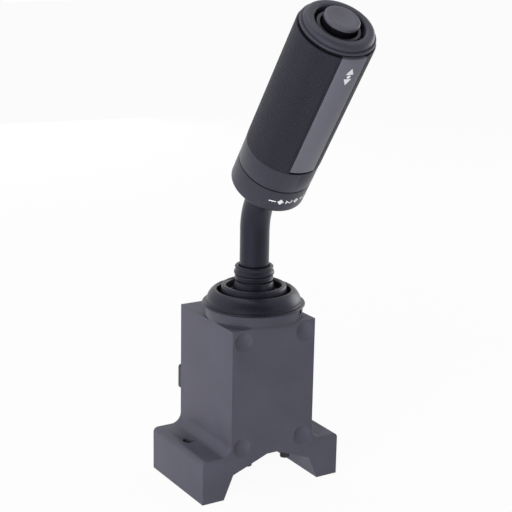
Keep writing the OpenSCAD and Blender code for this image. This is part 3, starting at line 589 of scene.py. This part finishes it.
def knurled_skin():
    clear_selection()
    bpy.ops.mesh.primitive_cylinder_add(
        vertices=KNURL_COLUMNS, radius=KNURL_R, depth=KNURL_HIGH - KNURL_LOW, end_fill_type="NOTHING",
        location=(0, 0, (KNURL_LOW + KNURL_HIGH) / 2))
    skin = bpy.context.object
    skin.name = "knurled_skin"
    bpy.ops.object.transform_apply(location=True)
    begin_edit(skin)
    # the gap for the thumb's strip
    pick(skin, "FACE", lambda c, n: abs(math.atan2(c.x, -c.y)) < STRIP_HALF - math.radians(1))
    bpy.ops.mesh.delete(type="FACE")
    pick(skin, "EDGE", lambda a, b: abs(a.z - b.z) > 10 * MM)
    bpy.ops.mesh.subdivide(number_cuts=KNURL_ROWS - 1)
    end_edit()
    wall = skin.modifiers.new("wall", "SOLIDIFY")
    wall.thickness = KNURL_WALL
    wall.offset = -1
    apply_all(skin)
    # each square is cut from corner to corner, its sides are dissolved and the diamonds are raised
    begin_edit(skin, "FACE")
    pick(skin, "FACE", outer_face)
    bpy.ops.mesh.poke()
    pick(skin, "EDGE", inner_grid_line)
    bpy.ops.mesh.dissolve_edges(use_verts=False)
    pick(skin, "FACE", outer_face)
    bpy.ops.mesh.poke(offset=DIAMOND_HEIGHT)
    bpy.ops.mesh.select_all(action="SELECT")
    bpy.ops.mesh.normals_make_consistent(inside=False)
    end_edit()
    settle(skin, GRIP, 10)
    paint(skin, KNURL_PLASTIC)
    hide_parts("knurled_cover")
    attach(skin, "twist_grip")


knurled_skin()


# Marks: plain numbers and diamonds on the index ring, and a plain sign on the thumb strip

RING_R = 20.15 * MM
STRIP_R = 20.6 * MM
RING_MARK_LEVEL = 28 * MM
RING_MARK_STEP = 13.4
NUMBER_SIZE = 5.4 * MM
NUMBER_BOLDNESS = 0.014
DIAMOND_R = 1.8 * MM
SIGN_LEVEL = 113.7
PRINT_THICKNESS = 0.05 * MM
PRINT_GAP = 0.005 * MM


def laid_round(flat, name, turn, along, radius):
    """Lays a flat piece on a round of the grip: its up points round the grip, its right down the grip."""
    flat.name = name
    begin_edit(flat)
    bpy.ops.mesh.select_all(action="SELECT")
    bpy.ops.mesh.remove_doubles(threshold=1e-6)
    bpy.ops.mesh.quads_convert_to_tris()
    bpy.ops.mesh.subdivide(number_cuts=4)
    end_edit()
    out = Vector((math.sin(turn), -math.cos(turn), 0))
    up = Vector((math.cos(turn), math.sin(turn), 0))
    right = Vector((0, 0, -1))
    place = Matrix((right, up, out)).transposed().to_4x4()
    place.translation = out * (radius + 1 * MM) + Vector((0, 0, along))
    put(flat, place)
    clear_selection()
    bpy.ops.mesh.primitive_cylinder_add(
        vertices=360, radius=radius + PRINT_GAP, depth=40 * MM, location=(0, 0, along))
    roll = bpy.context.object
    wrap = flat.modifiers.new("wrap", "SHRINKWRAP")
    wrap.target = roll
    wrap.wrap_method = "PROJECT"
    wrap.use_negative_direction = True
    wrap.use_positive_direction = False
    thickness = flat.modifiers.new("thickness", "SOLIDIFY")
    thickness.thickness = PRINT_THICKNESS
    thickness.offset = 1
    apply_all(flat)
    take(roll)
    bpy.ops.object.delete()
    settle(flat, GRIP, 30)
    paint(flat, PRINT_WHITE)
    return flat


def flat_number(text):
    clear_selection()
    bpy.ops.object.text_add()
    number = bpy.context.object
    number.data.body = text
    number.data.size = NUMBER_SIZE
    number.data.align_x = "CENTER"
    number.data.align_y = "CENTER"
    number.data.resolution_u = 3
    number.data.offset = NUMBER_BOLDNESS * NUMBER_SIZE
    bpy.ops.object.convert(target="MESH")
    return bpy.context.object


def flat_shape(corners, radius, turn=0.0):
    """A flat regular shape with its first corner upwards, or turned from there."""
    clear_selection()
    bpy.ops.mesh.primitive_circle_add(vertices=corners, radius=radius, fill_type="NGON")
    shape = bpy.context.object
    begin_edit(shape)
    bpy.ops.mesh.select_all(action="SELECT")
    bpy.ops.transform.rotate(value=turn, orient_axis="Z", center_override=(0, 0, 0))
    end_edit()
    return shape


for place, number in enumerate(("1", "", "2", "", "3")):
    turn = math.radians((place - 2) * RING_MARK_STEP)
    flat = flat_number(number) if number else flat_shape(4, DIAMOND_R)
    mark = laid_round(flat, "ring_mark_" + str(place + 1), turn, RING_MARK_LEVEL, RING_R)
    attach(mark, "lever")

# Each with its corners, radius, turn and shift up the grip: two triangles that point away from a dot
for name, corners, radius, turn, shift in (
    ("strip_sign_up", 3, 2.5, -90, 2.6),
    ("strip_sign_dot", 32, 1.0, 0, 0),
    ("strip_sign_down", 3, 2.5, 90, -2.6),
):
    flat = flat_shape(corners, radius * MM, math.radians(turn))
    mark = laid_round(flat, name, 0, (SIGN_LEVEL + shift) * MM, STRIP_R)
    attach(mark, "twist_grip")


# Floor, light and camera: the object mirrors a white tent that is open, and so dark, on the camera's side

OPENING = (-0.51, -0.82, 0.26)
OPENING_LIGHT = 0.1
FLOOR_AHEAD = (-0.53, -0.85, 0)
WHITE_FLOOR_END = 0.17
DARK_FLOOR_START = 0.3
# Shares of the floor's own white in what the camera sees, and of the tent's light on rough surfaces
FLOOR_WHITE = 0.95
WORLD_LIGHT = 0.25

CAMERA_TURN, CAMERA_RISE, CAMERA_ROLL = (math.radians(a) for a in (-31.867, 15.303, 1.088))
CAMERA_PLACE = Vector((-370.33, -606.30, 320.39)) * MM
CAMERA_LENS = 94.62


def floor():
    clear_selection()
    bpy.ops.mesh.primitive_plane_add(size=6)
    plane = bpy.context.object
    plane.name = "floor"
    mat, tree, shader, place = new_material("pale floor")
    shader.inputs["Base Color"].default_value = (0.86, 0.86, 0.87, 1)
    shader.inputs["Roughness"].default_value = 0.7
    glow = node_in(tree, "ShaderNodeEmission")
    glow.inputs["Strength"].default_value = 1
    ray = node_in(tree, "ShaderNodeLightPath").outputs
    ahead = along_in(tree, place, FLOOR_AHEAD)
    near = step_in(tree, ahead, WHITE_FLOOR_END, DARK_FLOOR_START, 1, OPENING_LIGHT)
    mirrored = math_in(tree, "MULTIPLY", ray["Is Glossy Ray"], near)
    seen = math_in(tree, "MAXIMUM", ray["Is Camera Ray"], mirrored)
    blend = node_in(tree, "ShaderNodeMixShader")
    tree.links.new(math_in(tree, "MULTIPLY", seen, FLOOR_WHITE), blend.inputs[0])
    tree.links.new(shader.outputs[0], blend.inputs[1])
    tree.links.new(glow.outputs[0], blend.inputs[2])
    tree.links.new(blend.outputs[0], tree.nodes["Material Output"].inputs["Surface"])
    plane.data.materials.append(mat)


def studio():
    world = bpy.data.worlds.new("studio")
    bpy.context.scene.world = world
    world.use_nodes = True
    tree = world.node_tree
    sky = tree.nodes["Background"]
    ray = node_in(tree, "ShaderNodeLightPath").outputs
    seen = math_in(tree, "MAXIMUM", ray["Is Camera Ray"], ray["Is Transmission Ray"])
    facing = along_in(tree, node_in(tree, "ShaderNodeTexCoord").outputs["Generated"], OPENING)
    closed = step_in(tree, facing, 0.5, 0.85, 1, OPENING_LIGHT)
    mirrored = math_in(tree, "MULTIPLY", ray["Is Glossy Ray"], 1 - WORLD_LIGHT)
    tent = math_in(tree, "MULTIPLY", math_in(tree, "ADD", WORLD_LIGHT, mirrored), closed)
    tree.links.new(math_in(tree, "MAXIMUM", seen, tent), sky.inputs["Strength"])
    sky.inputs["Color"].default_value = (1, 1, 1, 1)
    # each with its place, size, power in watts, what it points at, and whether the object mirrors it
    for name, place, size, power, aim, mirrored in (
        ("key", (-0.88, -0.55, 0.33), 0.45, 11.5, (0, 0, 0.07), False),
        ("right", (1.1, 0.1, 0.3), 0.7, 4.5, (0, 0, 0.15), True),
        ("back", (0.2, 1.15, 0.14), 0.6, 5.0, (0, 0, 0.12), False),
        ("top", (0, 0.1, 1.2), 0.9, 2.5, (0, 0, 0.12), True),
    ):
        lamp = bpy.data.lights.new(name, "AREA")
        lamp.size = size
        lamp.energy = power
        holder = bpy.data.objects.new(name, lamp)
        holder.visible_glossy = mirrored
        holder.location = place
        holder.rotation_euler = (Vector(aim) - Vector(place)).to_track_quat("-Z", "Y").to_euler()
        bpy.context.scene.collection.objects.link(holder)


def camera():
    """The camera as solved from the photograph: back, right and up are its own axes."""
    level = math.cos(CAMERA_RISE)
    back = Vector((math.sin(CAMERA_TURN) * level, -math.cos(CAMERA_TURN) * level, math.sin(CAMERA_RISE)))
    right = Vector((math.cos(CAMERA_TURN), math.sin(CAMERA_TURN), 0))
    up = back.cross(right)
    cos, sin = math.cos(CAMERA_ROLL), math.sin(CAMERA_ROLL)
    right, up = cos * right + sin * up, cos * up - sin * right
    lens = bpy.data.cameras.new("camera")
    lens.lens = CAMERA_LENS
    lens.sensor_width = 36
    holder = bpy.data.objects.new("camera", lens)
    holder.matrix_world = Matrix.Translation(CAMERA_PLACE) @ Matrix((right, up, back)).transposed().to_4x4()
    bpy.context.scene.collection.objects.link(holder)
    bpy.context.scene.camera = holder


floor()
studio()
camera()
bpy.context.scene.view_settings.view_transform = "Standard"

bpy.context.view_layer.update()
